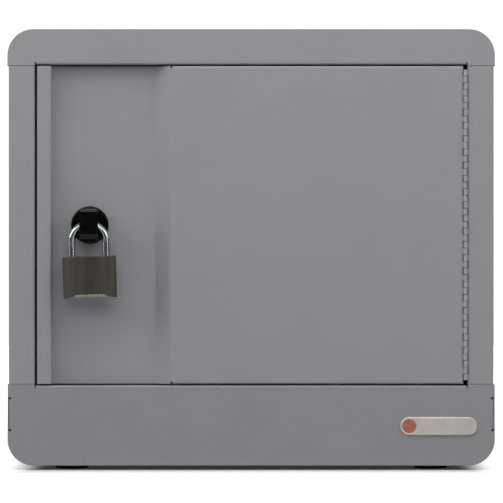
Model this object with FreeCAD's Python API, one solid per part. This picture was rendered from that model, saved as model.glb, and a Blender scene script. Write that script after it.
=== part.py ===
"""Device charging cabinet: a folded steel case with a flush recessed door on a continuous hinge,
a padlock hasp, a rack of device bays and two outlet strips.
Millimetres, +Z up, +X to the right and +Y to the back as seen from the door."""
import FreeCAD
import Part
import math
import os

# Every cut runs this far past the face it opens
overrun = 2.0
# Points nearer than this are the same point
same_point = 1e-6

# Case
overall_width = 468.0
shell_height = 419.0
shell_depth = 460.0
sheet = 1.2
fold_radius = 1.0  # inside radius of the folds
corner_radius = 25.0  # outside radius of the long rounded edges
cap_height = 35.0
base_height = 78.0
base_overlap = 20.0  # how far the side panels reach down into the base
seam_margin = 2.0
seam_gap = 0.4  # joint line above and below the stiles
foot_height = 4.5

# Stiles, rail and rear rim
stile_width = 25.0
stile_depth = 26.0
stile_lip = 13.5
rail_return = 26.0
fold_setback = 1.1  # the folds over and under the door stand back from the joint lines
corner_relief = 1.2  # open at the ends of those folds
stop_lip = 8.0
rear_flange = 20.0
rear_recess = 8.0

# Base fascia
fascia_return = 34.0
fascia_tab = 14.0
fascia_tab_rise = 34.9  # from the base's underside
fascia_tab_height = 28.7
fascia_tab_radius = 0.2  # inside the tab's tight fold
fascia_notch = 1.8
fascia_notch_width = 2.4

# Continuous hinge
knuckle_length = 6.35
knuckle_gap = 0.6
hinge_end_gap = 3.7
leaf = 0.9
leaf_depth = 15.0
pin_radius = 0.9
pin_fit = 0.05
knuckle_side_gap = 0.2
knuckle_notch = 0.4

# Door
door_gap = 1.4  # above and below
latch_gap = 2.0
door_return = 18.0
door_hem = 10.0
door_flange = 15.0
latch_lip = 14.0
recess_width = 99.5
recess_depth = 12.0
ramp_width = 14.5
bend_relief = 2.2
stiffener_width = 64.0
stiffener_foot = 13.0
stiffener_rise = 13.0
stiffener_end_gap = 24.0
stiffener_share = 0.5
bumper_radius = 3.4
bumper_gap = 0.4
bumper_inset = 5.0
bumper_bevel = 1.0

# Turning hasp lock
lock_inset = 36.5  # from the recess's step
rosette_radius = 18.0
rosette_height = 3.6
rosette_bevel = 1.6
barrel_radius = 9.5
lock_fit = 0.1
nut_flats = 27.0
nut_height = 5.0
shaft_radius = 5.5
running_fit = 0.05
grip_width = 18.0
grip_reach = 16.5
grip_gap = 0.4
grip_edge = 1.0
grip_round = 8.0  # at the lower end of its front
grip_top_round = 4.5
eye_drop = 1.9  # the eye's axis below the knob's
eye_slack = 0.65
eye_wall = 4.2
shackle_standoff = 22.5  # from the recess's floor to the shackle's axis
cam_gap = 1.0
cam_thickness = 3.0
cam_width = 16.0
cam_length = 61.0
cam_round_share = 0.9
square_side = 7.0
square_fit = 0.1
cam_screw_radius = 2.0
cam_screw_depth = 8.0
cam_screw_head_radius = 5.0
cam_screw_head = 3.4
barrel_end_gap = 0.6

# Combination padlock
shackle_radius = 3.75
bow_radius = 16.5
padlock_shift = -0.6  # as it hangs, from the knob's middle
shackle_clear = 28.1  # from the eye's axis to the top of the case
long_leg = 24.0
short_leg = 10.0
leg_fit = 0.12
leg_well = 1.0
leg_tip = 0.8
case_width = 50.8
case_height = 39.8
case_thickness = 23.0
case_edge = 5.0
case_rim = 0.6
arch_rise = 3.2
arch_chord = 42.0
arch_flat = 27.0
arch_round = 3.0
dial_count = 4
dial_radius = 6.0
dial_width = 6.6
dial_pitch = 7.4
dial_lift = 0.3
dial_fit = 0.5
dial_groove = 0.55
dial_faces = 10
dial_rod_radius = 1.5
dial_rod_seat = 3.0
padlock_tilt = 1.7  # degrees, as it hangs

# Nameplate without marks
plate_length = 74.0
plate_height = 17.6
plate_thickness = 1.8
plate_bevel = 0.7
plate_from_side = 54.0  # from the case's side to the plate's middle
plate_rise = 37.8  # from the base's underside to the plate's middle
inlay_depth = 0.6
inlay_border = 2.0

# Bay floor and dividers
floor_front_gap = 0.6
floor_flange = 14.0
floor_rear_gap = 0.4
slot_count = 12
divider_thickness = 3.0
divider_front = 48.0
divider_depth = 290.0
divider_height = 150.0
divider_front_radius = 70.0
divider_rear_radius = 18.0
divider_tab_length = 24.0
divider_tab_drop = 4.5
divider_tab_inset = 42.0
divider_fit = 0.2
divider_window_length = 150.0
divider_window_height = 24.0
divider_window_rise = 38.0
divider_window_pitch = 46.0
divider_window_count = 2

# Outlet strips
strip_end_gap = 32.8  # from the bar's end to the middle of the rear flange
strip_depth = 36.0
strip_height = 46.0
strip_edge = 4.0
strip_low_rise = 70.0
strip_high_rise = 190.0
strip_tab_past = 5.2
strip_tab_height = 28.0
strip_tab_thickness = 2.0
outlet_count = 6
outlet_end_gap = 10.0
outlet_width = 36.0
outlet_height = 27.0
outlet_depth = 12.0
outlet_proud = 0.8
outlet_fit = 0.2
outlet_edge = 4.0
blade_slot_width = 2.2
blade_slot_height = 8.0
blade_slot_pitch = 12.7
blade_slot_depth = 10.0
blade_slot_rise = 3.0
earth_hole_radius = 2.5
earth_hole_drop = 7.0

# Rear panel
rear_fit = 0.4
rear_screw_shares = (0.10, 0.40, 0.72, 0.95)
vent_length = 46.0
vent_height = 4.5
vent_columns = 6
vent_rows = 2
vent_side_margin = 30.0
vent_pitch_z = 16.0
vent_low_rise = 190.0
vent_high_rise = 306.0

# Screws
screw_radius = 2.0
screw_hole_fit = 0.2
screw_head_radius = 3.9
screw_head = 2.4
screw_length = 6.5
screw_dome = 0.9
small_screw_radius = 1.5
small_screw_head_radius = 2.8
small_screw_head = 1.6
small_screw_dome = 0.6

# Power inlet with its rocker
inlet_from_side = 106.0
inlet_rise = 40.0
inlet_length = 78.0
inlet_height = 34.0
inlet_flange = 2.5
inlet_flange_radius = 5.0
inlet_body_length = 54.0
inlet_body_height = 27.0
inlet_body_depth = 30.0
inlet_fit = 0.3
inlet_screw_inset = 6.5
socket_shift = 11.0
socket_width = 24.6
socket_height = 16.6
socket_depth = 17.0
socket_radius = 1.5
socket_chamfer = 4.5
prong_width = 2.0
prong_height = 4.0
prong_pitch = 14.0
prong_offset = 2.0
prong_short = 2.0
rocker_shift = -16.0
rocker_width = 12.0
rocker_height = 19.0
rocker_rise = 1.6
rocker_depth = 6.0
rocker_taper_share = 0.9
rocker_sink = 2.0
rocker_fit = 0.35
rocker_well = 9.0
rocker_pin_radius = 1.2
rocker_pin_reach = 1.4
rocker_pin_gap = 0.3
rocker_tilt = 7.0  # degrees each way

# Power box and wire duct
box_width = 140.0
box_depth = 124.0
box_height = 60.0
box_standoff = 7.0
box_edge = 3.0
box_gap = 14.5
box_foot = 12.0
box_foot_thickness = 1.6
duct_width = 22.0
duct_depth = 22.0
duct_edge = 2.0
duct_fit = 0.5
duct_rear_gap = 0.6

# Feet and anchor holes
foot_radius = 16.0
foot_bevel = 1.2
foot_bore_radius = 5.2
foot_bore = 2.6
foot_side_margin = 19.0
foot_end_inset = 42.0
foot_screw_rise = 5.0
foot_screw_head = 1.8
foot_screw_head_radius = 4.4
anchor_radius = 4.5
anchor_pitch_x = 300.0
anchor_pitch_y = 200.0
anchor_front = 80.0

# Levels and places that follow from the sizes above
half_width = overall_width / 2
panel_x = half_width - sheet
inner_x = panel_x - sheet
opening_x = panel_x - stile_width
fold_reach = fold_radius + sheet
base_bottom = foot_height
base_top = base_bottom + base_height
top = base_bottom + shell_height
cap_bottom = top - cap_height
opening_height = cap_bottom - base_top
opening_middle = base_top + opening_height / 2
cap_overlap = cap_height - corner_radius - seam_margin
shackle_y_from_front = recess_depth - shackle_standoff
padlock_reach = case_thickness / 2 - shackle_y_from_front
overall_depth = shell_depth + padlock_reach
front_y = padlock_reach - overall_depth / 2
back_y = overall_depth / 2
rear_y = back_y - rear_recess
flange_rear_y = rear_y - sheet
flange_front_y = flange_rear_y - sheet
panel_low = base_top - base_overlap
panel_high = cap_bottom + cap_overlap
flange_middle_x = panel_x - rear_flange / 2
rail_low = cap_bottom + fold_setback
shelf_top = base_top - fold_setback
fold_end_x = opening_x - corner_relief
floor_top = shelf_top + sheet

knuckle_radius = pin_radius + pin_fit + leaf
hinge_x = opening_x - knuckle_side_gap - knuckle_radius
knuckle_fit_count = int((opening_height - 2 * hinge_end_gap) / knuckle_length)
knuckle_count = knuckle_fit_count - 1 + knuckle_fit_count % 2
hinge_length = knuckle_count * knuckle_length
hinge_low = opening_middle - hinge_length / 2

door_left = latch_gap - opening_x
door_right = hinge_x - knuckle_radius - knuckle_side_gap
door_low = shelf_top + door_gap
door_high = rail_low - door_gap
step_x = door_left + latch_lip
ramp_x = step_x + recess_width
face_x = ramp_x + ramp_width
recess_y = front_y + recess_depth
door_back_y = front_y + door_return

lock_x = step_x + lock_inset
lock_z = opening_middle
shackle_y = front_y + shackle_y_from_front
eye_z = lock_z - eye_drop
padlock_x = lock_x + padlock_shift
grip_far = grip_width / 2 + abs(padlock_shift)
bow_inner_drop = bow_radius - math.sqrt((bow_radius - shackle_radius) ** 2 - grip_far ** 2)
bow_rise = (bow_inner_drop - shackle_radius) / 2
eye_radius = (bow_inner_drop + shackle_radius) / 2 + eye_slack
bow_z = eye_z + bow_rise - bow_radius
grip_front_y = shackle_y - eye_radius - eye_wall
rosette_front_y = recess_y - rosette_height
cam_y = front_y + stile_depth + cam_gap
barrel_end_y = cam_y - barrel_end_gap
case_top = eye_z - shackle_clear
case_bottom = case_top - case_height
dial_z = case_bottom + dial_radius + dial_lift

device_pitch = 2 * opening_x / slot_count
strip_reach = flange_middle_x - strip_end_gap
outlet_pitch = 2 * (strip_reach - outlet_end_gap) / outlet_count
strip_front_y = flange_front_y - strip_depth
strip_levels = {"lower": floor_top + strip_low_rise, "upper": floor_top + strip_high_rise}
outlet_front_y = strip_front_y - outlet_proud
inlet_x = half_width - inlet_from_side
inlet_z = base_bottom + inlet_rise
socket_x = inlet_x + socket_shift
socket_floor_y = rear_y + inlet_flange - socket_depth
rocker_x = inlet_x + rocker_shift
rocker_pivot_y = rear_y + inlet_flange - rocker_sink
box_low = base_bottom + sheet
box_under = box_low + box_standoff
box_top = box_under + box_height
box_back_y = flange_rear_y - box_gap
box_front_y = box_back_y - box_depth
duct_low_x = strip_reach
duct_back_y = flange_front_y - strip_tab_thickness - duct_rear_gap
duct_front_y = duct_back_y - duct_depth
vent_pitch_x = 2 * (panel_x - rear_flange - vent_side_margin) / vent_columns
plate_x = half_width - plate_from_side
plate_z = base_bottom + plate_rise
foot_x = half_width - corner_radius - foot_side_margin - foot_radius


def vec(x, y, z):
    return FreeCAD.Vector(x, y, z)


right = vec(1, 0, 0)
rearward = vec(0, 1, 0)
upward = vec(0, 0, 1)


def plan(z):
    """Places a profile drawn in X and Y."""
    return lambda u, v: vec(u, v, z)


def elevation(y):
    """Places a profile drawn in X and Z."""
    return lambda u, v: vec(u, y, v)


def section(x):
    """Places a profile drawn in Y and Z."""
    return lambda u, v: vec(x, u, v)


def block(low, high):
    return Part.makeBox(high[0] - low[0], high[1] - low[1], high[2] - low[2], vec(*low))


def rod(radius, start, end):
    return Part.makeCylinder(radius, (end - start).Length, start, end - start)


def heading(a, b):
    span = math.hypot(b[0] - a[0], b[1] - a[1])
    return (b[0] - a[0]) / span, (b[1] - a[1]) / span


def turn_points(before, corner, after, bend, offset):
    """Start, middle and end of a fold's arc, on the face an offset to the left of the walk."""
    d = heading(before, corner)
    e = heading(corner, after)
    side = math.copysign(1, d[0] * e[1] - d[1] * e[0])
    reach = bend * math.tan(math.acos(d[0] * e[0] + d[1] * e[1]) / 2)
    centre_u = corner[0] - d[0] * reach - side * d[1] * bend
    centre_v = corner[1] - d[1] * reach + side * d[0] * bend
    arm = side * (bend - side * offset)
    middle = heading((0, 0), (d[1] + e[1], -d[0] - e[0]))
    arms = ((d[1], -d[0]), middle, (e[1], -e[0]))
    return [(centre_u + a * arm, centre_v + b * arm) for a, b in arms]


def folded(points, radius, place, along, thickness=sheet):
    """Folded sheet: the points are corners of one face and the metal lies left of the walk."""
    edges = []
    ends = []
    for offset in (0, thickness):
        d = heading(points[0], points[1])
        at = (points[0][0] - d[1] * offset, points[0][1] + d[0] * offset)
        ends.append([at])
        for before, corner, after in zip(points, points[1:], points[2:]):
            d = heading(before, corner)
            e = heading(corner, after)
            outside = d[0] * e[1] - d[1] * e[0] > 0
            bend = radius + thickness if outside else radius
            arc = turn_points(before, corner, after, bend, offset)
            edges.append(Part.makeLine(place(*at), place(*arc[0])))
            edges.append(Part.Arc(*[place(*p) for p in arc]).toShape())
            at = arc[2]
        d = heading(points[-2], points[-1])
        last = (points[-1][0] - d[1] * offset, points[-1][1] + d[0] * offset)
        edges.append(Part.makeLine(place(*at), place(*last)))
        ends[-1].append(last)
    for near, far in zip(*ends):
        edges.append(Part.makeLine(place(*near), place(*far)))
    return Part.Face(Part.Wire(Part.__sortEdges__(edges))).extrude(along)


def rounded(corners, place, along):
    """Plate whose outline turns at corners given as u, v and radius."""
    arcs = []
    for i, (u, v, radius) in enumerate(corners):
        after = corners[(i + 1) % len(corners)]
        if radius > 0:
            arcs.append(turn_points(corners[i - 1][:2], (u, v), after[:2], radius, 0))
        else:
            arcs.append([(u, v)] * 3)
    edges = []
    for (u, v, radius), arc, following in zip(corners, arcs, arcs[1:] + arcs[:1]):
        if radius > 0:
            edges.append(Part.Arc(*[place(*p) for p in arc]).toShape())
        start, end = place(*arc[2]), place(*following[0])
        if (end - start).Length > same_point:
            edges.append(Part.makeLine(start, end))
    return Part.Face(Part.Wire(Part.__sortEdges__(edges))).extrude(along)


def rounded_rectangle(u0, v0, u1, v1, radius, place, along):
    return rounded([(u0, v0, radius), (u1, v0, radius), (u1, v1, radius), (u0, v1, radius)], place, along)


def revolved(points, centre, axis, across):
    """Solid turned from a profile of radius and height along the axis."""
    spots = [centre + across * r + axis * h for r, h in points]
    wire = Part.makePolygon(spots + spots[:1])
    return Part.Face(wire).revolve(centre, axis, 360)


def edges_at(shape, test):
    return [e for e in shape.Edges if all(test(v.Point) for v in e.Vertexes)]


def whole(shape):
    """The shape as one clean solid."""
    clean = shape.removeSplitter()
    assert len(clean.Solids) == 1 and clean.isValid()
    return clean.Solids[0]


def mirrored(shape):
    return shape.mirror(vec(0, 0, 0), right)


def pan_screw(at, axis, radius, head_radius, head, dome, length):
    """Screw whose head bears at a point and whose shank runs along the axis."""
    across = upward if abs(axis.z) < same_point else right
    points = [(0, -head), (head_radius - dome, -head), (head_radius, dome - head), (head_radius, 0)]
    points += [(radius, 0), (radius, length), (0, length)]
    return whole(revolved(points, at, axis, across))


def case_screw(at, axis, length=screw_length):
    return pan_screw(at, axis, screw_radius, screw_head_radius, screw_head, screw_dome, length)


def screw_hole(at, axis, length):
    start = at - axis * overrun
    return rod(screw_radius + screw_hole_fit, start, at + axis * (length + overrun))


def foot_spots():
    ys = (front_y + foot_end_inset, back_y - foot_end_inset)
    return {
        "foot_front_left": vec(-foot_x, ys[0], 0),
        "foot_front_right": vec(foot_x, ys[0], 0),
        "foot_rear_left": vec(-foot_x, ys[1], 0),
        "foot_rear_right": vec(foot_x, ys[1], 0),
    }


def anchor_spots():
    low_y = front_y + anchor_front
    spots = []
    for x in (-anchor_pitch_x / 2, anchor_pitch_x / 2):
        for y in (low_y, low_y + anchor_pitch_y):
            spots.append(vec(x, y, base_bottom))
    return spots


def box_screw_spots():
    z = box_low + box_foot_thickness
    return [vec(inlet_x, box_front_y - box_foot / 2, z), vec(inlet_x, box_back_y + box_foot / 2, z)]


def rear_screw_spots():
    spots = []
    for share in rear_screw_shares:
        z = panel_low + share * (panel_high - panel_low)
        spots.append(vec(-flange_middle_x, rear_y, z))
        spots.append(vec(flange_middle_x, rear_y, z))
    return spots


def strip_screw_spots():
    y = flange_front_y - strip_tab_thickness
    spots = []
    for z in strip_levels.values():
        spots.append(vec(-flange_middle_x, y, z))
        spots.append(vec(flange_middle_x, y, z))
    return spots


def inlet_screw_spots():
    out = inlet_length / 2 - inlet_screw_inset
    y = rear_y + inlet_flange
    return [vec(inlet_x - out, y, inlet_z), vec(inlet_x + out, y, inlet_z)]


def outlet_xs():
    first = -outlet_pitch * (outlet_count - 1) / 2
    return [first + i * outlet_pitch for i in range(outlet_count)]


def divider_xs():
    return [-opening_x + device_pitch * (i + 1) for i in range(slot_count - 1)]


def tab_ys():
    low = front_y + divider_front + divider_tab_inset
    high = front_y + divider_front + divider_depth - divider_tab_inset
    return [(low, low + divider_tab_length), (high - divider_tab_length, high)]


def base_shell():
    walls = [(-half_width, base_top), (-half_width, base_bottom)]
    walls += [(half_width, base_bottom), (half_width, base_top)]
    shell_y = front_y + sheet
    shell = folded(walls, corner_radius - sheet, elevation(shell_y), rearward * (back_y - shell_y))
    low = base_bottom + fascia_tab_rise
    lug = block((panel_x, front_y, low), (half_width, shell_y + sheet, low + fascia_tab_height))
    shell = shell.fuse([lug, mirrored(lug)])
    under = base_bottom - overrun
    cuts = [rod(anchor_radius, p - upward * overrun, p + upward * (sheet + overrun)) for p in anchor_spots()]
    for spot in foot_spots().values():
        cuts.append(screw_hole(vec(spot.x, spot.y, under), upward, sheet + overrun))
    for spot in box_screw_spots():
        cuts.append(screw_hole(vec(spot.x, spot.y, under), upward, sheet + overrun))
    return whole(shell.cut(cuts))


def base_fascia():
    outline = [(-half_width, base_bottom, corner_radius), (half_width, base_bottom, corner_radius)]
    outline += [(half_width, base_top, 0), (-half_width, base_top, 0)]
    plate = rounded(outline, elevation(front_y), rearward * sheet)
    tab_low = base_bottom + fascia_tab_rise
    tab_high = tab_low + fascia_tab_height
    edge_x = panel_x - fascia_notch_width
    back = front_y + sheet + overrun
    trim_low = (-opening_x, front_y - overrun, shelf_top - fold_reach)
    trim = block(trim_low, (opening_x, back, base_top + overrun))
    side = block(
        (edge_x, front_y - overrun, tab_low - fascia_notch),
        (half_width + overrun, back, tab_high + fascia_notch),
    )
    plate = plate.cut([trim, side, mirrored(side)])
    bend = [(front_y + fascia_return, shelf_top), (front_y, shelf_top)]
    bend.append((front_y, shelf_top - 2 * fold_reach))
    shelf = folded(bend, fold_radius, section(-fold_end_x), right * (2 * fold_end_x))
    bend = [(edge_x - fold_reach, front_y), (panel_x, front_y), (panel_x, front_y + fascia_tab)]
    tab = folded(bend, fascia_tab_radius, plan(tab_low), upward * fascia_tab_height)
    return whole(plate.fuse([shelf, tab, mirrored(tab)]))


def top_cap():
    walls = [(half_width, cap_bottom), (half_width, top), (-half_width, top), (-half_width, cap_bottom)]
    cap_y = front_y + sheet
    return whole(folded(walls, corner_radius - sheet, elevation(cap_y), rearward * (back_y - cap_y)))


def top_rail():
    outline = [(-half_width, cap_bottom, 0), (half_width, cap_bottom, 0)]
    outline += [(half_width, top, corner_radius), (-half_width, top, corner_radius)]
    plate = rounded(outline, elevation(front_y), rearward * sheet)
    trim = block(
        (-opening_x, front_y - overrun, cap_bottom - overrun),
        (opening_x, front_y + sheet + overrun, rail_low + fold_reach),
    )
    lip_y = front_y + rail_return
    bend = [(front_y, rail_low + 2 * fold_reach), (front_y, rail_low), (lip_y, rail_low)]
    bend.append((lip_y, rail_low - stop_lip))
    lip = folded(bend, fold_radius, section(-fold_end_x), right * (2 * fold_end_x))
    return whole(plate.cut(trim).fuse(lip))


def side_panel():
    """Left panel: rear flange, flat side and a channel stile at the front."""
    walk = [(rear_flange - panel_x, flange_rear_y), (-panel_x, flange_rear_y)]
    flat = walk + [(-panel_x, front_y + fascia_tab + seam_margin)]
    stile_y = front_y + stile_depth
    channel = walk + [(-panel_x, front_y), (-opening_x, front_y), (-opening_x, stile_y)]
    channel.append((-opening_x - stile_lip, stile_y))
    sheet_flat = folded(flat, fold_radius, plan(panel_low), upward * (panel_high - panel_low))
    low = base_top + seam_gap
    sheet_stile = folded(channel, fold_radius, plan(low), upward * (cap_bottom - seam_gap - low))
    cuts = []
    for spot in rear_screw_spots() + strip_screw_spots():
        if spot.x < 0:
            cuts.append(screw_hole(vec(spot.x, flange_front_y, spot.z), rearward, sheet))
    return whole(sheet_flat.fuse(sheet_stile).cut(cuts))


def rear_panel():
    edge_x = panel_x - rear_fit
    low = base_bottom + sheet + rear_fit
    high = top - sheet - rear_fit
    radius = corner_radius - sheet - rear_fit
    spot = elevation(flange_rear_y)
    plate = rounded_rectangle(-edge_x, low, edge_x, high, radius, spot, rearward * sheet)
    cuts = [screw_hole(vec(p.x, flange_rear_y, p.z), rearward, sheet) for p in rear_screw_spots()]
    through = elevation(flange_rear_y - overrun)
    depth = rearward * (sheet + 2 * overrun)
    first_x = -vent_pitch_x * (vent_columns - 1) / 2 - vent_length / 2
    for rise in (vent_low_rise, vent_high_rise):
        for row in range(vent_rows):
            for column in range(vent_columns):
                u = first_x + column * vent_pitch_x
                v = base_bottom + rise + row * vent_pitch_z
                slot = (u, v, u + vent_length, v + vent_height, vent_height / 2)
                cuts.append(rounded_rectangle(*slot, through, depth))
    half_l = inlet_body_length / 2 + inlet_fit
    half_h = inlet_body_height / 2 + inlet_fit
    low_spot = (inlet_x - half_l, flange_rear_y - overrun, inlet_z - half_h)
    cuts.append(block(low_spot, (inlet_x + half_l, rear_y + overrun, inlet_z + half_h)))
    for p in inlet_screw_spots():
        hole = small_screw_radius + screw_hole_fit
        cuts.append(rod(hole, vec(p.x, flange_rear_y - overrun, p.z), vec(p.x, rear_y + overrun, p.z)))
    return whole(plate.cut(cuts))


def bay_floor():
    low = floor_top - floor_flange
    walk = [(inner_x, low), (inner_x, floor_top), (-inner_x, floor_top), (-inner_x, low)]
    start = front_y + stile_depth + floor_front_gap
    length = flange_front_y - floor_rear_gap - start
    pan = folded(walk, fold_radius, elevation(start), rearward * length)
    under = floor_top - sheet - overrun
    over = floor_top + overrun
    half_slot = divider_thickness / 2 + divider_fit
    cuts = []
    for x in divider_xs():
        for y0, y1 in tab_ys():
            slot_low = (x - half_slot, y0 - divider_fit, under)
            cuts.append(block(slot_low, (x + half_slot, y1 + divider_fit, over)))
    duct_high_x = duct_low_x + duct_width
    cuts.append(
        block(
            (duct_low_x - duct_fit, duct_front_y - duct_fit, under),
            (duct_high_x + duct_fit, duct_back_y + duct_fit, over),
        )
    )
    return whole(pan.cut(cuts))


def device_divider(x):
    y0 = front_y + divider_front
    y1 = y0 + divider_depth
    high = floor_top + divider_height
    side = section(x - divider_thickness / 2)
    across = right * divider_thickness
    corners = [(y0, floor_top, 0), (y1, floor_top, 0)]
    corners += [(y1, high, divider_rear_radius), (y0, high, divider_front_radius)]
    fin = rounded(corners, side, across)
    tabs = []
    for low, end in tab_ys():
        half = divider_thickness / 2
        tabs.append(block((x - half, low, floor_top - divider_tab_drop), (x + half, end, floor_top)))
    windows = []
    middle = (y0 + y1) / 2
    for i in range(divider_window_count):
        v = floor_top + divider_window_rise + i * divider_window_pitch
        half = divider_window_length / 2
        window = (middle - half, v, middle + half, v + divider_window_height, divider_window_height / 2)
        start = section(x - divider_thickness)
        windows.append(rounded_rectangle(*window, start, right * (2 * divider_thickness)))
    return whole(fin.fuse(tabs).cut(windows))


def hinge_leaf(plate_low_x, first):
    """One leaf with every second knuckle, from its plate's low side."""
    barrel_y = front_y + knuckle_radius + knuckle_notch
    plate_high_x = plate_low_x + leaf
    pieces = []
    for i in range(first, knuckle_count, 2):
        low = hinge_low + i * knuckle_length + knuckle_gap / 2
        high = low + knuckle_length - knuckle_gap
        pieces.append(rod(knuckle_radius, vec(hinge_x, front_y, low), vec(hinge_x, front_y, high)))
        pieces.append(block((plate_low_x, front_y, low), (plate_high_x, barrel_y, high)))
    low = hinge_low + knuckle_gap / 2
    high = hinge_low + hinge_length - knuckle_gap / 2
    plate = block((plate_low_x, barrel_y, low), (plate_high_x, front_y + leaf_depth, high))
    start = vec(hinge_x, front_y, hinge_low - overrun)
    bore = rod(pin_radius + pin_fit, start, vec(hinge_x, front_y, hinge_low + hinge_length + overrun))
    return whole(plate.fuse(pieces).cut(bore))


def hinge_pin():
    low = vec(hinge_x, front_y, hinge_low)
    return rod(pin_radius, low, vec(hinge_x, front_y, hinge_low + hinge_length))


def door_panel():
    back = door_back_y
    walk = [(door_left + door_hem, back), (door_left, back), (door_left, front_y), (step_x, front_y)]
    walk += [(step_x, recess_y), (ramp_x, recess_y), (face_x, front_y), (door_right, front_y)]
    walk += [(door_right, back), (door_right - door_hem, back)]
    skin = folded(walk, fold_radius, plan(door_low), upward * (door_high - door_low))
    start_x = face_x + bend_relief
    end_x = door_right - fold_reach
    cut_y = front_y + sheet + same_point
    cuts = []
    flanges = []
    for edge, inward in ((door_low, 1), (door_high, -1)):
        reach = edge + inward * fold_reach
        spread = sorted((edge - inward * overrun, reach))
        slot_start = vec(start_x - bend_relief, front_y - overrun, spread[0])
        slot_end = vec(end_x, cut_y, spread[1])
        cuts.append(block(slot_start, slot_end))
        bend = [(front_y + door_flange, edge), (front_y, edge), (front_y, edge + inward * 2 * fold_reach)]
        if inward > 0:
            bend.reverse()
        flanges.append(folded(bend, fold_radius, section(start_x), right * (end_x - start_x)))
    hole = rod(barrel_radius + lock_fit, vec(lock_x, recess_y - overrun, lock_z), vec(lock_x, back, lock_z))
    return whole(skin.cut(cuts + [hole]).fuse(flanges))


def door_stiffener():
    middle = face_x + stiffener_share * (door_right - face_x)
    near = front_y + sheet
    far = near + stiffener_rise
    out = stiffener_width / 2
    crown = out - stiffener_foot
    walk = [(middle + out, near), (middle + crown, near), (middle + crown, far)]
    walk += [(middle - crown, far), (middle - crown, near), (middle - out, near)]
    walk.reverse()
    low = door_low + stiffener_end_gap
    length = door_high - stiffener_end_gap - low
    return whole(folded(walk, fold_radius, plan(low), upward * length))


def door_bumpers():
    lip_y = front_y + rail_return - sheet
    z = rail_low - stop_lip / 2
    studs = []
    for x in (door_left + bumper_inset, door_right - bumper_inset):
        start = vec(x, lip_y, z)
        end = vec(x, door_back_y + bumper_gap, z)
        stud = rod(bumper_radius, start, end)
        rim = edges_at(stud, lambda p: abs(p.y - end.y) < same_point)
        studs.append(whole(stud.makeChamfer(bumper_bevel, rim[:1])))
    return Part.makeCompound(studs)


def lock_body():
    bore = shaft_radius + running_fit
    rim = rosette_radius - rosette_bevel
    deep = barrel_end_y - recess_y
    points = [(bore, -rosette_height), (rim, -rosette_height)]
    points += [(rosette_radius, rosette_bevel - rosette_height), (rosette_radius, 0)]
    points += [(barrel_radius, 0), (barrel_radius, deep), (bore, deep)]
    return whole(revolved(points, vec(lock_x, recess_y, lock_z), rearward, right))


def lock_nut():
    start = vec(lock_x, recess_y + sheet, lock_z)
    reach = nut_flats / math.sqrt(3)
    spots = []
    for i in range(6):
        angle = math.radians(60 * i)
        spots.append(start + right * (reach * math.cos(angle)) + upward * (reach * math.sin(angle)))
    nut = Part.Face(Part.makePolygon(spots + spots[:1])).extrude(rearward * nut_height)
    bore_end = start + rearward * (nut_height + overrun)
    bore = rod(barrel_radius + lock_fit, start - rearward * overrun, bore_end)
    return whole(nut.cut(bore))


def lock_knob():
    grip_back_y = rosette_front_y - grip_gap
    disc = rod(grip_reach, vec(lock_x, grip_back_y, lock_z), vec(lock_x, grip_front_y, lock_z))
    half = grip_width / 2
    low = lock_z - grip_reach
    high = lock_z + grip_reach
    side = [(grip_front_y, low, grip_round), (grip_back_y, low, 0)]
    side += [(grip_back_y, high, 0), (grip_front_y, high, grip_top_round)]
    grip = disc.common(rounded(side, section(lock_x - half), right * grip_width))
    edges = edges_at(grip, lambda p: abs(p.y - grip_front_y) < same_point and abs(p.x - lock_x) > half / 2)
    grip = grip.makeChamfer(grip_edge, edges)
    eye_start = vec(lock_x - half - overrun, shackle_y, eye_z)
    eye = rod(eye_radius, eye_start, vec(lock_x + half + overrun, shackle_y, eye_z))
    shaft_end = vec(lock_x, barrel_end_y, lock_z)
    shaft = rod(shaft_radius, vec(lock_x, grip_back_y, lock_z), shaft_end)
    cam_end_y = cam_y + cam_thickness
    flat = square_side / 2
    square = block((lock_x - flat, barrel_end_y, lock_z - flat), (lock_x + flat, cam_end_y, lock_z + flat))
    tapped = vec(lock_x, cam_end_y - cam_screw_depth, lock_z)
    hole = rod(cam_screw_radius + running_fit, tapped, vec(lock_x, cam_end_y + overrun, lock_z))
    return whole(grip.cut(eye).fuse([shaft, square]).cut(hole))


def lock_cam():
    half = cam_width / 2
    low = lock_z - half
    corners = (lock_x - half, low, lock_x + half, lock_z + cam_length, half * cam_round_share)
    arm = rounded_rectangle(*corners, elevation(cam_y), rearward * cam_thickness)
    flat = square_side / 2 + square_fit
    back = cam_y + cam_thickness + overrun
    hole = block((lock_x - flat, cam_y - overrun, lock_z - flat), (lock_x + flat, back, lock_z + flat))
    return whole(arm.cut(hole))


def cam_screw():
    bearing = vec(lock_x, cam_y + cam_thickness, lock_z)
    length = cam_screw_depth - running_fit
    return pan_screw(
        bearing, -rearward, cam_screw_radius, cam_screw_head_radius, cam_screw_head, screw_dome, length
    )


def hung(shape):
    """Turns a padlock piece as it hangs from the eye."""
    return shape.rotated(vec(padlock_x, shackle_y, eye_z), -rearward, padlock_tilt)


def padlock_shackle():
    long_x = padlock_x - bow_radius
    short_x = padlock_x + bow_radius
    crown = vec(padlock_x, shackle_y, bow_z + bow_radius)
    long_end = vec(long_x, shackle_y, case_top - long_leg)
    short_end = vec(short_x, shackle_y, case_top - short_leg)
    left = vec(long_x, shackle_y, bow_z)
    far = vec(short_x, shackle_y, bow_z)
    bow = Part.Arc(left, crown, far).toShape()
    spine = Part.Wire([Part.makeLine(long_end, left), bow, Part.makeLine(far, short_end)])
    ring = Part.Wire([Part.makeCircle(shackle_radius, long_end, upward)])
    bar = whole(spine.makePipeShell([ring], True, True))
    tips = [e for e in bar.Edges if e.BoundBox.ZLength < same_point and e.CenterOfMass.z < case_top]
    return whole(bar.makeChamfer(leg_tip, tips))


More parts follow.
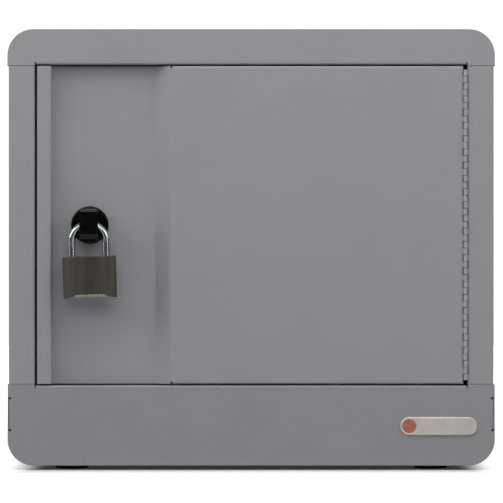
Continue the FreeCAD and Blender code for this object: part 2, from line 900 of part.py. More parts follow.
def padlock_case():
    half = case_width / 2
    back = case_thickness / 2
    body = rounded_rectangle(
        padlock_x - half, shackle_y - back, padlock_x + half, shackle_y + back, case_edge,
        plan(case_bottom - overrun), upward * (case_height + overrun),
    )
    body = body.makeChamfer(case_rim, edges_at(body, lambda p: abs(p.z - case_top) < same_point))
    under = case_bottom - 2 * overrun
    crown = case_bottom + arch_rise
    left = padlock_x - half - overrun
    far = padlock_x + half + overrun
    arch = [(left, under, 0), (far, under, 0), (far, case_bottom, 0)]
    arch += [(padlock_x + arch_chord / 2, case_bottom, arch_round)]
    arch += [(padlock_x + arch_flat / 2, crown, arch_round), (padlock_x - arch_flat / 2, crown, arch_round)]
    arch += [(padlock_x - arch_chord / 2, case_bottom, arch_round), (left, case_bottom, 0)]
    through = rearward * (case_thickness + 2 * overrun)
    cuts = [rounded(arch, elevation(shackle_y - back - overrun), through)]
    for x, depth in ((padlock_x - bow_radius, long_leg), (padlock_x + bow_radius, short_leg)):
        low = vec(x, shackle_y, case_top - depth - leg_well)
        cuts.append(rod(shackle_radius + leg_fit, low, vec(x, shackle_y, case_top + overrun)))
    out = dial_pitch * dial_count / 2 + dial_fit
    deep = dial_radius + dial_fit
    low = (padlock_x - out, shackle_y - deep, case_bottom - overrun)
    cuts.append(block(low, (padlock_x + out, shackle_y + deep, dial_z + deep)))
    seat = out + dial_rod_seat
    rod_start = vec(padlock_x - seat, shackle_y, dial_z)
    cuts.append(rod(dial_rod_radius + running_fit, rod_start, vec(padlock_x + seat, shackle_y, dial_z)))
    return whole(body.cut(cuts))


def dial_xs():
    first = padlock_x - dial_pitch * (dial_count - 1) / 2
    return [first + i * dial_pitch for i in range(dial_count)]


def padlock_dial(x):
    start = vec(x - dial_width / 2, shackle_y, dial_z)
    end = vec(x + dial_width / 2, shackle_y, dial_z)
    wheel = rod(dial_radius, start, end)
    cuts = [rod(dial_rod_radius + running_fit, start - right * overrun, end + right * overrun)]
    for i in range(dial_faces):
        angle = 2 * math.pi * (i + 0.5) / dial_faces
        out = rearward * (dial_radius * math.cos(angle)) + upward * (dial_radius * math.sin(angle))
        cuts.append(rod(dial_groove, start + out - right * overrun, end + out + right * overrun))
    return whole(wheel.cut(cuts))


def padlock_dial_rod():
    seat = dial_pitch * dial_count / 2 + dial_fit + dial_rod_seat
    start = vec(padlock_x - seat, shackle_y, dial_z)
    return rod(dial_rod_radius, start, start + right * (2 * seat))


def inlay_disc(y, depth):
    """Plain coloured disc in the round end of the nameplate."""
    start = vec(plate_x - plate_length / 2 + plate_height / 2, y, plate_z)
    return rod(plate_height / 2 - inlay_border, start, start + rearward * depth)


def nameplate():
    face_y = front_y - plate_thickness
    out = plate_length / 2
    up = plate_height / 2
    pill = (plate_x - out, plate_z - up, plate_x + out, plate_z + up, up)
    slab = rounded_rectangle(*pill, elevation(face_y), rearward * plate_thickness)
    rim = edges_at(slab, lambda p: abs(p.y - face_y) < same_point)
    slab = slab.makeChamfer(plate_bevel, rim)
    return whole(slab.cut(inlay_disc(face_y - overrun, overrun + inlay_depth)))


def nameplate_inlay():
    return inlay_disc(front_y - plate_thickness, inlay_depth)


def foot(spot):
    points = [(foot_bore_radius, 0), (foot_radius - foot_bevel, 0), (foot_radius, foot_bevel)]
    points += [(foot_radius, foot_height), (screw_radius + screw_hole_fit, foot_height)]
    points += [(screw_radius + screw_hole_fit, foot_bore), (foot_bore_radius, foot_bore)]
    return whole(revolved(points, spot, upward, right))


def foot_screws():
    screws = []
    for spot in foot_spots().values():
        at = spot + upward * foot_bore
        length = foot_height - foot_bore + sheet + foot_screw_rise
        screws.append(
            pan_screw(at, upward, screw_radius, foot_screw_head_radius, foot_screw_head, screw_dome, length)
        )
    return Part.makeCompound(screws)


def outlet_strip(z):
    low = z - strip_height / 2
    high = z + strip_height / 2
    corners = [(strip_front_y, low, strip_edge), (flange_front_y, low, 0)]
    corners += [(flange_front_y, high, 0), (strip_front_y, high, strip_edge)]
    bar = rounded(corners, section(-strip_reach), right * (2 * strip_reach))
    tab_y = flange_front_y - strip_tab_thickness
    half_tab = strip_tab_height / 2
    tab_end = flange_middle_x + strip_tab_past
    tab = block((strip_reach, tab_y, z - half_tab), (tab_end, flange_front_y, z + half_tab))
    bar = bar.fuse([tab, mirrored(tab)])
    cuts = []
    for x in outlet_xs():
        u = outlet_width / 2
        v = outlet_height / 2
        pocket = rounded_rectangle(
            x - u, z - v, x + u, z + v, outlet_edge,
            elevation(strip_front_y - overrun), rearward * (outlet_depth + overrun),
        )
        cuts.append(pocket)
    for spot in strip_screw_spots():
        if abs(spot.z - z) < strip_height:
            cuts.append(screw_hole(spot, rearward, strip_tab_thickness))
    return whole(bar.cut(cuts))


def outlet_faces(z):
    faces = []
    for x in outlet_xs():
        u = outlet_width / 2 - outlet_fit
        v = outlet_height / 2 - outlet_fit
        face = rounded_rectangle(
            x - u, z - v, x + u, z + v, outlet_edge - outlet_fit,
            elevation(outlet_front_y), rearward * (outlet_depth + outlet_proud),
        )
        start = outlet_front_y - overrun
        end = outlet_front_y + blade_slot_depth
        cuts = []
        for side in (-1, 1):
            low_x = x + side * blade_slot_pitch / 2 - blade_slot_width / 2
            low_z = z + blade_slot_rise - blade_slot_height / 2
            high = (low_x + blade_slot_width, end, low_z + blade_slot_height)
            cuts.append(block((low_x, start, low_z), high))
        earth = z - earth_hole_drop
        cuts.append(rod(earth_hole_radius, vec(x, start, earth), vec(x, end, earth)))
        faces.append(whole(face.cut(cuts)))
    return Part.makeCompound(faces)


def strip_screws():
    length = strip_tab_thickness + sheet - screw_hole_fit
    return Part.makeCompound([case_screw(spot, rearward, length) for spot in strip_screw_spots()])


def rear_panel_screws():
    return Part.makeCompound([case_screw(spot, -rearward) for spot in rear_screw_spots()])


def power_box():
    left = inlet_x - box_width / 2
    far = inlet_x + box_width / 2
    body = block((left, box_front_y, box_under), (far, box_back_y, box_top))
    top_edges = edges_at(body, lambda p: abs(p.z - box_top) < same_point)
    body = body.makeFillet(box_edge, top_edges)
    web_y = box_front_y + box_foot_thickness
    lug_top = box_low + box_foot_thickness
    lug_left = inlet_x - box_foot
    lug_right = inlet_x + box_foot
    lug = block((lug_left, box_front_y - box_foot, box_low), (lug_right, web_y, lug_top))
    web = block((lug_left, box_front_y, box_low), (lug_right, web_y, box_under))
    bracket = lug.fuse(web)
    other = bracket.mirror(vec(0, (box_front_y + box_back_y) / 2, 0), rearward)
    half_l = inlet_body_length / 2 + inlet_fit
    half_h = inlet_body_height / 2 + inlet_fit
    floor_y = rear_y - inlet_body_depth - inlet_fit
    pocket = block(
        (inlet_x - half_l, floor_y, inlet_z - half_h),
        (inlet_x + half_l, box_back_y + overrun, inlet_z + half_h),
    )
    cuts = [pocket]
    for spot in box_screw_spots():
        cuts.append(screw_hole(spot - upward * box_foot_thickness, upward, box_foot_thickness))
    return whole(body.fuse([bracket, other]).cut(cuts))


def box_screws():
    length = box_foot_thickness + sheet - screw_hole_fit
    return Part.makeCompound([case_screw(spot, -upward, length) for spot in box_screw_spots()])


def wire_duct():
    high = strip_levels["upper"] + strip_height / 2
    body = block((duct_low_x, duct_front_y, box_top), (duct_low_x + duct_width, duct_back_y, high))
    front_edges = edges_at(body, lambda p: abs(p.y - duct_front_y) < same_point)
    front_edges = [e for e in front_edges if e.BoundBox.ZLength > duct_width]
    return whole(body.makeFillet(duct_edge, front_edges))


def power_inlet():
    half_l = inlet_length / 2
    half_h = inlet_height / 2
    flange = rounded_rectangle(
        inlet_x - half_l, inlet_z - half_h, inlet_x + half_l, inlet_z + half_h, inlet_flange_radius,
        elevation(rear_y), rearward * inlet_flange,
    )
    body_l = inlet_body_length / 2
    body_h = inlet_body_height / 2
    low = (inlet_x - body_l, rear_y - inlet_body_depth, inlet_z - body_h)
    body = flange.fuse(block(low, (inlet_x + body_l, rear_y, inlet_z + body_h)))
    face_y = rear_y + inlet_flange
    u = socket_width / 2
    v = socket_height / 2
    corners = [(socket_x - u, inlet_z - v, socket_radius), (socket_x + u, inlet_z - v, socket_radius)]
    cut_u = u - socket_chamfer
    cut_v = v - socket_chamfer
    corners += [(socket_x + u, inlet_z + cut_v, 0), (socket_x + cut_u, inlet_z + v, 0)]
    corners += [(socket_x - cut_u, inlet_z + v, 0), (socket_x - u, inlet_z + cut_v, 0)]
    socket = rounded(corners, elevation(socket_floor_y), rearward * (socket_depth + overrun))
    well_u = rocker_width / 2 + rocker_fit
    well_v = math.hypot(rocker_height / 2, rocker_sink) + rocker_fit
    well = block(
        (rocker_x - well_u, face_y - rocker_well, inlet_z - well_v),
        (rocker_x + well_u, face_y + overrun, inlet_z + well_v),
    )
    out = right * (rocker_width / 2 + rocker_pin_reach + rocker_pin_gap)
    pivot = vec(rocker_x, rocker_pivot_y, inlet_z)
    cuts = [socket, well, rod(rocker_pin_radius + running_fit, pivot - out, pivot + out)]
    for p in inlet_screw_spots():
        hole = small_screw_radius + screw_hole_fit
        cuts.append(rod(hole, vec(p.x, rear_y - overrun, p.z), p + rearward * overrun))
    return whole(body.cut(cuts))


def inlet_pins():
    pins = []
    half = prong_width / 2
    up = prong_height / 2
    end_y = rear_y + inlet_flange - prong_short
    spots = [(-prong_pitch / 2, -prong_offset), (prong_pitch / 2, -prong_offset), (0, prong_offset)]
    for dx, dz in spots:
        x = socket_x + dx
        z = inlet_z + dz
        pins.append(block((x - half, socket_floor_y, z - up), (x + half, end_y, z + up)))
    return Part.makeCompound(pins)


def power_rocker():
    face_y = rear_y + inlet_flange
    up = rocker_height / 2
    taper = up * rocker_taper_share
    walk = [(face_y, -up), (face_y + rocker_rise, 0), (face_y, up), (face_y - rocker_depth, taper)]
    walk.append((face_y - rocker_depth, -taper))
    spots = [vec(rocker_x - rocker_width / 2, y, inlet_z + z) for y, z in walk]
    key = Part.Face(Part.makePolygon(spots + spots[:1])).extrude(right * rocker_width)
    pivot = vec(rocker_x, rocker_pivot_y, inlet_z)
    out = right * (rocker_width / 2 + rocker_pin_reach)
    key = key.fuse(rod(rocker_pin_radius, pivot - out, pivot + out))
    return whole(key.rotated(pivot, right, rocker_tilt))


def inlet_screws():
    length = inlet_flange + sheet
    screws = []
    for spot in inlet_screw_spots():
        screws.append(
            pan_screw(
                spot, -rearward, small_screw_radius, small_screw_head_radius, small_screw_head,
                small_screw_dome, length,
            )
        )
    return Part.makeCompound(screws)


def cabinet():
    left_panel = side_panel()
    nodes = {
        "base_shell": base_shell(),
        "base_fascia": base_fascia(),
        "top_cap": top_cap(),
        "top_rail": top_rail(),
        "side_panel_left": left_panel,
        "side_panel_right": mirrored(left_panel),
        "rear_panel": rear_panel(),
        "rear_panel_screws": rear_panel_screws(),
        "bay_floor": bay_floor(),
        "hinge_leaf_frame": hinge_leaf(opening_x - leaf, 0),
        "hinge_leaf_door": hinge_leaf(door_right, 1),
        "hinge_pin": hinge_pin(),
        "door_panel": door_panel(),
        "door_stiffener": door_stiffener(),
        "door_bumpers": door_bumpers(),
        "lock_body": lock_body(),
        "lock_nut": lock_nut(),
        "lock_knob": lock_knob(),
        "lock_cam": lock_cam(),
        "cam_screw": cam_screw(),
        "padlock_shackle": hung(padlock_shackle()),
        "padlock_case": hung(padlock_case()),
        "padlock_dial_rod": hung(padlock_dial_rod()),
        "nameplate": nameplate(),
        "nameplate_inlay": nameplate_inlay(),
        "foot_screws": foot_screws(),
        "strip_screws": strip_screws(),
        "power_box": power_box(),
        "box_screws": box_screws(),
        "wire_duct": wire_duct(),
        "power_inlet": power_inlet(),
        "inlet_pins": inlet_pins(),
        "power_rocker": power_rocker(),
        "inlet_screws": inlet_screws(),
    }
    for i, x in enumerate(divider_xs(), 1):
        nodes[f"device_divider_{i:02d}"] = device_divider(x)
    for i, x in enumerate(dial_xs(), 1):
        nodes[f"padlock_dial_{i}"] = hung(padlock_dial(x))
    for name, spot in foot_spots().items():
        nodes[name] = foot(spot)
    for name, z in strip_levels.items():
        nodes[f"outlet_strip_{name}"] = outlet_strip(z)
        nodes[f"outlet_faces_{name}"] = outlet_faces(z)
    return nodes


def main():
    os.makedirs("parts", exist_ok=True)
    for name, shape in cabinet().items():
        shape.exportStep(f"parts/{name}.step")
        print(name, len(shape.Solids), round(shape.Volume))


if __name__ == "__main__":
    main()
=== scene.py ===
import math

import bmesh
import bpy
from mathutils import Matrix, Vector


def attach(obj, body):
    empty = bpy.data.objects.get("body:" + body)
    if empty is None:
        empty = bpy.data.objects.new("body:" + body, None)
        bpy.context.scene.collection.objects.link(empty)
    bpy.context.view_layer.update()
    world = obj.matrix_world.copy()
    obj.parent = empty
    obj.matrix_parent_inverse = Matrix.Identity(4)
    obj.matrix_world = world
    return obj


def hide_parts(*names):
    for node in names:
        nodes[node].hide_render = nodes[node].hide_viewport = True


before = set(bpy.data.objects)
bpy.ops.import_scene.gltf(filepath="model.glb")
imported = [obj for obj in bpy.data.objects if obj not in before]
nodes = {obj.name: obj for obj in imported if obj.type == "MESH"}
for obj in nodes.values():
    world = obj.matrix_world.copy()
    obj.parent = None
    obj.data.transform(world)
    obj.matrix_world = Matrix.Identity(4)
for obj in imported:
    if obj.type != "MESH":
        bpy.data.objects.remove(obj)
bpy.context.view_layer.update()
mm = 0.001  # the drawing's unit, in metres
smoothAngle = math.radians(32)  # edges that turn by more stay sharp


# Materials

def linear(hexColour):
    # sRGB hex to linear RGBA
    channels = [int(hexColour[i:i + 2], 16) / 255 for i in (1, 3, 5)]
    return [c / 12.92 if c <= 0.04045 else ((c + 0.055) / 1.055) ** 2.4 for c in channels] + [1]


def addNode(tree, kind, settings={}, values={}, links={}):
    node = tree.nodes.new(kind)
    for name, value in settings.items():
        setattr(node, name, value)
    for name, value in values.items():
        node.inputs[name].default_value = value
    for name, source in links.items():
        tree.links.new(source, node.inputs[name])
    return node


def perMetre(millimetres):
    # scale of a noise whose grain is about this wide
    return 1 / (millimetres * mm)


noiseSpan = {"From Min": 0.3, "From Max": 0.7}  # most of a noise's values lie in here
wearAndSheenSpan = {"From Min": 0.99, "From Max": 0.8}  # how far the rounded normal leans from the face's own
grainHeight = 0.2 * mm


def makeFinish(name, look):
    # two close tones in broad patches, roughness that follows them, a fine grain as bump, and edges
    # rounded to the eye; mottle, grain and round are in millimetres, and a grain that is too fine to
    # show is drawn as coarse as it needs
    material = bpy.data.materials.new(name)
    material.use_nodes = True
    tree = material.node_tree
    shader = tree.nodes["Principled BSDF"]
    for socket, value in look.get("sockets", {}).items():
        shader.inputs[socket].default_value = value
    place = addNode(tree, "ShaderNodeTexCoord").outputs["Object"]
    stretch = look.get("stretch", (1, 1, 1))
    drawn = addNode(tree, "ShaderNodeMapping", {}, {"Scale": stretch}, {"Vector": place}).outputs["Vector"]
    mottle = addNode(tree, "ShaderNodeTexNoise", {}, {"Scale": perMetre(look["mottle"]), "Detail": 3},
                     {"Vector": drawn if "streaked" in look else place}).outputs["Fac"]
    grain = addNode(tree, "ShaderNodeTexNoise", {}, {"Scale": perMetre(look["grain"]), "Detail": 2},
                    {"Vector": drawn}).outputs["Fac"]
    patch = addNode(tree, "ShaderNodeMapRange", {}, noiseSpan, {"Value": mottle}).outputs["Result"]
    dark, light = look["tones"]
    colour = addNode(tree, "ShaderNodeMix", {"data_type": "RGBA"}, {"A": linear(dark), "B": linear(light)},
                     {"Factor": patch}).outputs["Result"]
    edge = addNode(tree, "ShaderNodeBevel", {"samples": 6}, {"Radius": look["round"] * mm})
    corner = edge.outputs["Normal"]
    # the edge tone, laid on along rounded edges: handling wear on most finishes, and painted sheen and
    # painted highlight on the black coats and the nameplate's rim
    if "edgeWearAndSheenTone" in look:
        face = addNode(tree, "ShaderNodeNewGeometry").outputs["Normal"]
        lean = addNode(tree, "ShaderNodeVectorMath", {"operation": "DOT_PRODUCT"}, {}, {0: corner, 1: face})
        edgeMask = addNode(tree, "ShaderNodeMapRange", {}, {**wearAndSheenSpan, "To Max": look["edgeWearAndSheenShare"]},
                       {"Value": lean.outputs["Value"]}).outputs["Result"]
        wearAndSheenMask = addNode(tree, "ShaderNodeMath", {"operation": "MULTIPLY"}, {}, {0: edgeMask, 1: patch})
        colour = addNode(tree, "ShaderNodeMix", {"data_type": "RGBA"}, {"B": linear(look["edgeWearAndSheenTone"])},
                         {"A": colour, "Factor": wearAndSheenMask.outputs["Value"]}).outputs["Result"]
    low, high = look["rough"]
    rough = addNode(tree, "ShaderNodeMapRange", {}, {**noiseSpan, "To Min": low, "To Max": high},
                    {"Value": mottle})
    bump = addNode(tree, "ShaderNodeBump", {}, {"Strength": look["bump"], "Distance": grainHeight},
                   {"Height": grain, "Normal": corner})
    tree.links.new(colour, shader.inputs["Base Color"])
    tree.links.new(rough.outputs["Result"], shader.inputs["Roughness"])
    tree.links.new(bump.outputs["Normal"], shader.inputs["Normal"])
    return material


# polyester powder baked on steel: even grey, soft sheen, fine orange peel drawn coarser than its 0.5 mm
powderCoat = makeFinish("satin_powder_coat", {
    "tones": ("#8d8d90", "#8f8f92"), "mottle": 42, "grain": 1.6,
    "rough": (0.45, 0.475), "bump": 0.10, "round": 0.5,
    "sockets": {"Specular IOR Level": 0.42},
})
# the same powder on the base, which the photo shows a shade darker than the door
# its tones are painted that shade darker than the door's: painted shade for the lowest panel, which gets
# the least light from the lamps above
baseCoatPaintedShade = makeFinish("satin_powder_coat_base_painted_shade", {
    "tones": ("#868689", "#88888b"), "mottle": 42, "grain": 1.6,
    "rough": (0.45, 0.475), "bump": 0.10, "round": 0.5,
    "sockets": {"Specular IOR Level": 0.42},
})
# the same powder where the hinge rolls, painted a little lighter overall than the case: painted light that
# offsets the shade in the hinge's grooves; rubbed lighter still along the knuckles' edges
hingeCoatPaintedLight = makeFinish("rubbed_powder_coat_painted_light", {
    "tones": ("#96969a", "#9c9c9f"), "mottle": 9, "grain": 1.2,
    "rough": (0.36, 0.46), "bump": 0.08, "round": 0.35,
    "edgeWearAndSheenTone": "#a5a5a6", "edgeWearAndSheenShare": 0.5,
    "sockets": {"Specular IOR Level": 0.45},
})
# zinc die casting under black electrocoat: deep black with a soft gloss, greyer on handled edges, where the
# olive edge tone is partly handling wear and partly a painted sheen like the olive reflection of the
# padlock's case
blackCoat = makeFinish("black_electrocoat", {
    "tones": ("#020202", "#040403"), "mottle": 7, "grain": 0.9,
    "rough": (0.12, 0.18), "bump": 0.01, "round": 1.0,
    "edgeWearAndSheenTone": "#24231c", "edgeWearAndSheenShare": 0.3,
    "sockets": {"Specular IOR Level": 0.34},
})
# the same coat on the rosette, which hands seldom rub: deeper and less glossy than the knob; its faint
# olive-grey edge tone is a painted highlight along the rims
rosetteCoat = makeFinish("black_electrocoat_rosette", {
    "tones": ("#010101", "#030302"), "mottle": 7, "grain": 0.9,
    "rough": (0.18, 0.26), "bump": 0.01, "round": 1.0,
    "edgeWearAndSheenTone": "#1c1b16", "edgeWearAndSheenShare": 0.3,
    "sockets": {"Specular IOR Level": 0.14},
})
# clear zinc plating on steel: cool grey metal, slightly blotchy
zincPlate = makeFinish("zinc_plated_steel", {
    "tones": ("#a3a6a8", "#bcbfc0"), "mottle": 5, "grain": 0.5,
    "rough": (0.26, 0.40), "bump": 0.05, "round": 0.25,
    "sockets": {"Metallic": 1},
})
# the hinge pin between the knuckles: zinc painted dark grey, painted shade that darkens the joints between
# the knuckles
pinZincPaintedShade = makeFinish("zinc_pin_painted_shade", {
    "tones": ("#4e4e4f", "#5a5a5a"), "mottle": 5, "grain": 0.5,
    "rough": (0.45, 0.60), "bump": 0.05, "round": 0.2,
    "sockets": {"Specular IOR Level": 0.3},
})
# polished chrome on hardened steel: bright lines softened by a handling haze
chromePlate = makeFinish("polished_chrome", {
    "tones": ("#b4b5b6", "#c2c3c4"), "mottle": 8, "grain": 0.7,
    "rough": (0.15, 0.21), "bump": 0.01, "round": 0.2,
    "sockets": {"Metallic": 1},
})
# cast bronze with a dark brown patina, brushed upright, warmer where hands rub its edges
patinaBronze = makeFinish("brown_patina_bronze", {
    "tones": ("#302e29", "#45423b"), "mottle": 9, "grain": 0.6, "stretch": (1, 1, 0.06), "streaked": True,
    "rough": (0.40, 0.50), "bump": 0.16, "round": 0.7, "edgeWearAndSheenTone": "#7b745e", "edgeWearAndSheenShare": 0.3,
    "sockets": {"Metallic": 0.3},
})
# turned brass, lightly tarnished: pale yellow metal
turnedBrass = makeFinish("turned_brass", {
    "tones": ("#c5bea6", "#d4cdb7"), "mottle": 4, "grain": 0.4, "stretch": (0.1, 1, 1),
    "rough": (0.36, 0.48), "bump": 0.10, "round": 0.2, "edgeWearAndSheenTone": "#dcd2b2", "edgeWearAndSheenShare": 0.5,
    "sockets": {"Metallic": 0.4},
})
# fine-brushed anodised aluminium with a bright cut edge: its edges are painted much lighter, partly the
# bare metal's own tone and partly a painted highlight along the rim
brushedAluminium = makeFinish("brushed_anodised_aluminium", {
    "tones": ("#c6c0ba", "#d1cbc5"), "mottle": 14, "grain": 0.5, "stretch": (0.04, 1, 1),
    "rough": (0.36, 0.46), "bump": 0.12, "round": 0.8, "edgeWearAndSheenTone": "#e6e2df", "edgeWearAndSheenShare": 0.9,
    "sockets": {"Metallic": 0.6},
})
# soft enamel filled into the plate: warm orange brown, glossy
orangeEnamel = makeFinish("orange_enamel", {
    "tones": ("#9d6249", "#a76a4f"), "mottle": 5, "grain": 0.8,
    "rough": (0.22, 0.32), "bump": 0.03, "round": 0.3,
    "sockets": {"Specular IOR Level": 0.5},
})
# moulded EPDM rubber, dull, painted a lighter grey than its own charcoal: painted light for the feet, which
# stand in deep shade under the base; the door's bumpers share it
rubberPaintedLight = makeFinish("moulded_rubber_painted_light", {
    "tones": ("#3b3b3a", "#464644"), "mottle": 6, "grain": 0.5,
    "rough": (0.72, 0.85), "bump": 0.18, "round": 0.5,
    "sockets": {"Specular IOR Level": 0.3},
})
# injection moulded polypropylene with a spark-eroded texture: charcoal, waxy
dividerResin = makeFinish("charcoal_polypropylene", {
    "tones": ("#35363a", "#3c3d41"), "mottle": 30, "grain": 0.7,
    "rough": (0.42, 0.52), "bump": 0.14, "round": 0.5,
    "sockets": {"Specular IOR Level": 0.45},
})
# injection moulded ABS, fine matt texture: the outlet strips' charcoal housing
charcoalResin = makeFinish("charcoal_abs", {
    "tones": ("#37383a", "#3f4042"), "mottle": 26, "grain": 0.6,
    "rough": (0.44, 0.54), "bump": 0.16, "round": 0.6,
    "sockets": {"Specular IOR Level": 0.45},
})
# moulded polycarbonate of the sealed power box: plain mid grey, matt
boxResin = makeFinish("grey_polycarbonate", {
    "tones": ("#79797b", "#808083"), "mottle": 24, "grain": 0.7,
    "rough": (0.45, 0.55), "bump": 0.12, "round": 0.6,
    "sockets": {"Specular IOR Level": 0.45},
})
# smoother ABS of the outlet faces: off white, so that the slots read
outletResin = makeFinish("off_white_abs", {
    "tones": ("#c9c7c1", "#d0cec9"), "mottle": 12, "grain": 0.6,
    "rough": (0.32, 0.42), "bump": 0.08, "round": 0.4,
    "sockets": {"Specular IOR Level": 0.48},
})
# glass-filled nylon of the inlet: black with a dry sheen
blackNylon = makeFinish("glass_filled_nylon", {
    "tones": ("#151516", "#1e1e1f"), "mottle": 9, "grain": 0.5,
    "rough": (0.38, 0.50), "bump": 0.14, "round": 0.4,
    "sockets": {"Specular IOR Level": 0.45},
})
# glossy polycarbonate switch key
redResin = makeFinish("red_polycarbonate", {
    "tones": ("#8e1512", "#9a1a16"), "mottle": 8, "grain": 0.9,
    "rough": (0.20, 0.28), "bump": 0.03, "round": 0.4,
    "sockets": {"Specular IOR Level": 0.5},
})
# white pad-printing ink on the switch key
whiteInk = makeFinish("white_print", {
    "tones": ("#d9d9d5", "#e6e6e2"), "mottle": 2, "grain": 0.4,
    "rough": (0.45, 0.55), "bump": 0.05, "round": 0.1,
})
# worn dark filling of the stamped digits
stampInk = makeFinish("worn_stamping_ink", {
    "tones": ("#6d6551", "#7a725d"), "mottle": 2, "grain": 0.4,
    "rough": (0.50, 0.65), "bump": 0.05, "round": 0.1,
})
# nickel-plated brass contacts
nickelPlate = makeFinish("nickel_plated_brass", {
    "tones": ("#b3aea1", "#c4bfb2"), "mottle": 4, "grain": 0.4,
    "rough": (0.22, 0.32), "bump": 0.04, "round": 0.3,
    "sockets": {"Metallic": 1},
})


def assign(material, *names):
    for name in names:
        slots = nodes[name].data.materials
        slots.clear()
        slots.append(material)


assign(powderCoat, "top_rail", "top_cap", "side_panel_left", "side_panel_right", "rear_panel", "bay_floor",
       "door_panel", "door_stiffener")
assign(baseCoatPaintedShade, "base_fascia", "base_shell")
assign(hingeCoatPaintedLight, "hinge_leaf_frame", "hinge_leaf_door")
assign(blackCoat, "lock_knob")
assign(rosetteCoat, "lock_body")
assign(pinZincPaintedShade, "hinge_pin")
assign(zincPlate, "lock_nut", "lock_cam", "padlock_dial_rod")
assign(chromePlate, "padlock_shackle")
assign(patinaBronze, "padlock_case")
assign(turnedBrass, *[f"padlock_dial_{i}" for i in range(1, 5)])
assign(brushedAluminium, "nameplate")
assign(orangeEnamel, "nameplate_inlay")
assign(rubberPaintedLight, "door_bumpers", "foot_front_left", "foot_front_right", "foot_rear_left",
       "foot_rear_right")
assign(dividerResin, *[f"device_divider_{i:02d}" for i in range(1, 12)])
assign(charcoalResin, "wire_duct", "outlet_strip_lower", "outlet_strip_upper")
assign(boxResin, "power_box")
assign(outletResin, "outlet_faces_lower", "outlet_faces_upper")
assign(blackNylon, "power_inlet")
assign(nickelPlate, "inlet_pins")
assign(redResin, "power_rocker")
print("materials:", len(bpy.data.materials))


# Modelling helpers

def clearSelection():
    bpy.ops.object.select_all(action="DESELECT")


def pick(piece, kind, test):
    # goes into edit mode with only the faces or edges that pass the test selected
    bpy.context.view_layer.objects.active = piece
    bpy.ops.object.mode_set(mode="EDIT")
    bpy.ops.mesh.select_mode(type=kind)
    bpy.ops.mesh.select_all(action="DESELECT")
    mesh = bmesh.from_edit_mesh(piece.data)
    for item in mesh.faces if kind == "FACE" else mesh.edges:
        item.select_set(bool(test(item)))
    mesh.select_flush_mode()
    bmesh.update_edit_mesh(piece.data)


def settle(pieces, name):
    # puts each piece's place into its mesh and makes them one object
    clearSelection()
    for piece in pieces:
        piece.select_set(True)
    bpy.context.view_layer.objects.active = pieces[0]
    bpy.ops.object.transform_apply(location=True, rotation=True, scale=True)
    if len(pieces) > 1:
        bpy.ops.object.join()
    joined = bpy.context.view_layer.objects.active
    joined.name = name
    joined.data.name = name
    return joined


def duplicate(model):
    copy = model.copy()
    copy.data = model.data.copy()
    bpy.context.scene.collection.objects.link(copy)
    return copy


def turnAbout(pivot, degrees, axis):
    turn = Matrix.Rotation(math.radians(degrees), 4, axis)
    return Matrix.Translation(pivot) @ turn @ Matrix.Translation(-pivot)


# Cross-recess screws

screwSizes = {  # head and shank in millimetres
    "case": {"headRadius": 3.9, "head": 2.4, "dome": 0.9, "radius": 2.0},
    "foot": {"headRadius": 4.4, "head": 1.8, "dome": 0.9, "radius": 2.0},
    "inlet": {"headRadius": 2.8, "head": 1.6, "dome": 0.6, "radius": 1.5},
    "cam": {"headRadius": 5.0, "head": 3.4, "dome": 0.9, "radius": 2.0},
}
screwShape = {
    "sides": 40,
    "tip": 0.3,  # bevel at the shank's end, in millimetres
    "armShare": 0.6,  # the cross's reach, of the head's radius
    "armWidth": 0.2,  # of its reach across
    "recessShare": 0.62,  # the cross's depth, of the head's height
    "taper": 0.55,  # the cross's floor, of its mouth
    "twist": 37,  # degrees from one screw to the next
}


def looksDown(face):
    return face.normal.z < -0.9


def modelScrew(size, length):
    # pan head with a cross recess on a shank; it bears at the origin and its head looks up
    head, wide = size["head"] * mm, size["headRadius"] * mm
    shankEnd, headTop = -0.9 * length * mm, 0.99 * head  # only the edges at the two ends lie past these
    clearSelection()
    bpy.ops.mesh.primitive_cylinder_add(vertices=screwShape["sides"], radius=wide, depth=head,
                                        location=(0, 0, head / 2))
    screw = bpy.context.object
    bpy.ops.object.transform_apply(location=True, rotation=False, scale=False)
    pick(screw, "FACE", looksDown)
    bpy.ops.mesh.inset(thickness=wide - size["radius"] * mm)
    bpy.ops.mesh.extrude_region_move(TRANSFORM_OT_translate={"value": (0, 0, -length * mm)})
    pick(screw, "EDGE", lambda edge: all(v.co.z < shankEnd for v in edge.verts))
    bpy.ops.mesh.bevel(offset=screwShape["tip"] * mm, segments=2)
    pick(screw, "EDGE", lambda edge: all(v.co.z > headTop for v in edge.verts))
    bpy.ops.mesh.bevel(offset=size["dome"] * mm, segments=5)
    bpy.ops.object.mode_set(mode="OBJECT")
    deep = screwShape["recessShare"] * head
    across = 2 * screwShape["armShare"] * wide
    for turn in (0, 90):
        clearSelection()
        bpy.ops.mesh.primitive_cube_add(size=1, location=(0, 0, head))
        cutter = bpy.context.object
        cutter.scale = (across, screwShape["armWidth"] * across, 2 * deep)
        cutter.rotation_euler.z = math.radians(turn)
        bpy.ops.object.transform_apply(location=True, rotation=True, scale=True)
        pick(cutter, "FACE", looksDown)
        share = screwShape["taper"]
        bpy.ops.transform.resize(value=(share, share, 1), center_override=(0, 0, head - deep))
        bpy.ops.object.mode_set(mode="OBJECT")
        recess = screw.modifiers.new("recess", "BOOLEAN")
        recess.operation = "DIFFERENCE"
        recess.solver = "EXACT"
        recess.object = cutter
        clearSelection()
        screw.select_set(True)
        bpy.context.view_layer.objects.active = screw
        bpy.ops.object.modifier_apply(modifier=recess.name)
        bpy.data.objects.remove(cutter)
    bpy.ops.object.shade_smooth_by_angle(angle=smoothAngle)
    return screw


